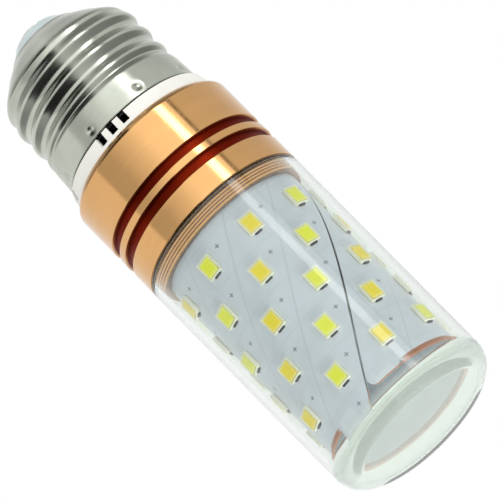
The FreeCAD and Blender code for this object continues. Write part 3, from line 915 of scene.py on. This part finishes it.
class BULB_OT_stage(bpy.types.Operator):
    """Sets the floor, the soft light, the white surround and the camera"""

    bl_idname = "bulb.stage"
    bl_label = "Stage"

    # Brightest level of the surround. Its colours are shares of this.
    PEAK = 8.0
    # What reflections see round the bulb, as degrees from the front and levels: beside it, then above
    # and below it. The narrow bright bar is a strip light.
    BELT = ((-180, 0.9), (-66, 1.0), (-63.5, 0.6), (-40, 0.64), (-10, 1.08), (8, 1.42), (37, 1.5), (39, 5.5),
            (47, 5.5), (49, 1.5), (55, 1.45), (56, 0.3), (60, 0.3), (61, 0.8), (120, 0.7), (180, 0.9))
    ENDS = ((-180, 0.85), (-150, 0.6), (-110, 0.3), (-72, 0.45), (-68, 0.01), (-4, 0.01), (4, 0.8),
            (30, 0.6), (60, 0.3), (120, 0.25), (150, 0.5), (180, 0.85))
    # Rise of the belt's middle, and how far from it the belt fades out.
    BELT_RISE = 0.34
    BELT_FADE = (0.22, 0.4)
    # What is seen through the clear cover: white, and grey where the view through it turns steep.
    THROUGH = (1.0, 1.0, 1.0)
    THROUGH_STEEP = (0.624, 0.656, 0.608)
    STEEP_RISE = 0.15
    STEEP_FADE = (0.5, 0.75)

    def floor(self):
        """A pale floor that takes shadows from above and leaves the light and the view from below alone."""
        made = Finish("pale_floor", roughness=0.9)
        made.put("Base Color", made.blend(made.patches(3.0), (0.86, 0.86, 0.86), (0.83, 0.83, 0.83)))
        below = made.add("NewGeometry").outputs["Backfacing"]
        unseen = made.inverse(made.add("LightPath").outputs["Is Camera Ray"])
        passing = made.add("BsdfTransparent").outputs[0]
        made.show(made.mixed(made.math("MAXIMUM", below, unseen), made.surface.outputs[0], passing))
        half_size, drop = 3.0, 0.2 * MM
        bm = bmesh.new()
        bmesh.ops.create_grid(bm, x_segments=8, y_segments=8, size=half_size)
        bmesh.ops.translate(bm, vec=(0.0, 0.0, -drop), verts=bm.verts[:])
        mesh = bpy.data.meshes.new("floor")
        bm.to_mesh(mesh)
        bm.free()
        mesh.materials.append(made.material)
        floor = bpy.data.objects.new("floor", mesh)
        bpy.context.scene.collection.objects.link(floor)

    def levels(self, made, share, stops):
        """Levels round the bulb, from stops in degrees."""
        node = made.add("ValToRGB")
        made.join(share, node.inputs[0])
        elements = node.color_ramp.elements
        while len(elements) < len(stops):
            elements.new(0.5)
        for element, (degrees, level) in zip(elements, stops):
            element.position = (degrees + 180.0) / 360.0
            element.color = (*[level / self.PEAK] * 3, 1.0)
        return node.outputs["Color"]

    def background(self, made, tone, strength):
        """A surround of one colour or pattern."""
        node = made.add("Background")
        made.tint(tone, node.inputs["Color"])
        node.inputs["Strength"].default_value = strength
        return node.outputs[0]

    def surround(self, light):
        """White for what is seen, level for what lights, and light and dark sides for reflections."""
        world = bpy.data.worlds.new("studio")
        bpy.context.scene.world = world
        world.use_nodes = True
        made = Nodes(world.node_tree)
        x, y, rise = made.split(made.add("TexCoord").outputs["Generated"])
        share = made.math("ADD", made.math("DIVIDE", made.from_front(x, y), math.tau), 0.5)
        belt, ends = [self.levels(made, share, stops) for stops in (self.BELT, self.ENDS)]
        studio = made.blend(made.span(made.apart(rise, self.BELT_RISE), *self.BELT_FADE), belt, ends)
        rays = made.add("LightPath").outputs
        refracted = rays["Is Transmission Ray"]
        steep = made.span(made.apart(rise, self.STEEP_RISE), *self.STEEP_FADE)
        tones = [[c / self.PEAK for c in tone] for tone in (self.THROUGH, self.THROUGH_STEEP)]
        through = made.blend(made.math("MULTIPLY", steep, refracted), *tones)
        mirrored = made.math("MAXIMUM", made.math("SUBTRACT", rays["Is Glossy Ray"], refracted), 0.0)
        seen = self.background(made, made.blend(mirrored, through, studio), self.PEAK)
        even = self.background(made, (1.0, 1.0, 1.0), light)
        looked = made.math("MAXIMUM", rays["Is Camera Ray"], rays["Is Glossy Ray"])
        shown = made.mixed(made.math("MAXIMUM", looked, refracted), even, seen)
        made.join(shown, made.add("OutputWorld").inputs["Surface"])

    def lamp(self, name, aim, azimuth, elevation, distance, width, height, level):
        """A soft box that faces the bulb at a height. Level is its brightness."""
        made = bpy.data.lights.new(name, "AREA")
        made.shape = "RECTANGLE"
        made.size = width
        made.size_y = height
        made.energy = level * math.pi * width * height
        side, rise = math.radians(azimuth), math.radians(elevation)
        away = Vector((math.sin(side) * math.cos(rise), -math.cos(side) * math.cos(rise), math.sin(rise)))
        placed = bpy.data.objects.new(name, made)
        placed.location = away * distance + Vector((0.0, 0.0, aim))
        placed.rotation_mode = "QUATERNION"
        placed.rotation_quaternion = (-away).to_track_quat("-Z", "Y")
        placed.visible_camera = False
        placed.visible_glossy = False
        placed.visible_transmission = False
        bpy.context.scene.collection.objects.link(placed)

    def camera(self, stage):
        """A long lens below the bulb's middle, rolled so that the cap points up and to the left."""
        made = bpy.data.cameras.new("camera")
        made.sensor_fit = "HORIZONTAL"
        made.sensor_width = 36.0
        made.lens = stage.lens
        made.clip_start = 0.01
        ahead = Vector((0.0, math.cos(stage.tilt), math.sin(stage.tilt)))
        plain_up = Vector((0.0, -math.sin(stage.tilt), math.cos(stage.tilt)))
        plain_right = Vector((1.0, 0.0, 0.0))
        right = plain_right * math.cos(stage.roll) - plain_up * math.sin(stage.roll)
        up = plain_up * math.cos(stage.roll) + plain_right * math.sin(stage.roll)
        aim = Vector((0.0, 0.0, stage.middle)) + right * stage.right - up * stage.down
        turned_to = Matrix((right, up, -ahead)).transposed().to_4x4()
        placed = bpy.data.objects.new("camera", made)
        placed.matrix_world = Matrix.Translation(aim - ahead * stage.distance) @ turned_to
        bpy.context.scene.collection.objects.link(placed)
        bpy.context.scene.camera = placed

    def execute(self, context):
        stage = context.scene.bulb_stage
        self.floor()
        self.surround(stage.light)
        self.lamp("key_box", stage.lit, azimuth=28.0, elevation=22.0, distance=0.5, width=0.52, height=0.6,
                  level=stage.key)
        self.lamp("fill_box", stage.lit, azimuth=0.0, elevation=-80.0, distance=0.6, width=0.4, height=0.4,
                  level=stage.fill)
        self.camera(stage)
        context.scene.view_settings.view_transform = "Standard"
        return {"FINISHED"}


class BULB_PT_parts(bpy.types.Panel):
    """Lists what can be built"""

    bl_idname = "BULB_PT_parts"
    bl_label = "Corn LED Bulb"
    bl_space_type = "VIEW_3D"
    bl_region_type = "UI"
    bl_category = "Bulb"

    def draw(self, context):
        for operator in OPERATORS:
            self.layout.operator(operator.bl_idname)
        for name, group in GROUPS:
            box = self.layout.box()
            box.label(text=group.__doc__.rstrip("."))
            for key in group.__annotations__:
                box.prop(getattr(context.scene, name), key)


OPERATORS = (
    BULB_OT_clear_cover,
    BULB_OT_gold_sleeve,
    BULB_OT_screw_cap,
    BULB_OT_neck,
    BULB_OT_led_board,
    BULB_OT_driver,
    BULB_OT_stage,
)


def register():
    for name, group in GROUPS:
        bpy.utils.register_class(group)
        setattr(bpy.types.Scene, name, PointerProperty(type=group))
    for item in (*OPERATORS, BULB_PT_parts):
        bpy.utils.register_class(item)


def unregister():
    for item in reversed((*OPERATORS, BULB_PT_parts)):
        bpy.utils.unregister_class(item)
    for name, group in reversed(GROUPS):
        delattr(bpy.types.Scene, name)
        bpy.utils.unregister_class(group)


def main():
    register()
    for operator in OPERATORS:
        family, name = operator.bl_idname.split(".")
        getattr(getattr(bpy.ops, family), name)()


if __name__ == "__main__":
    main()
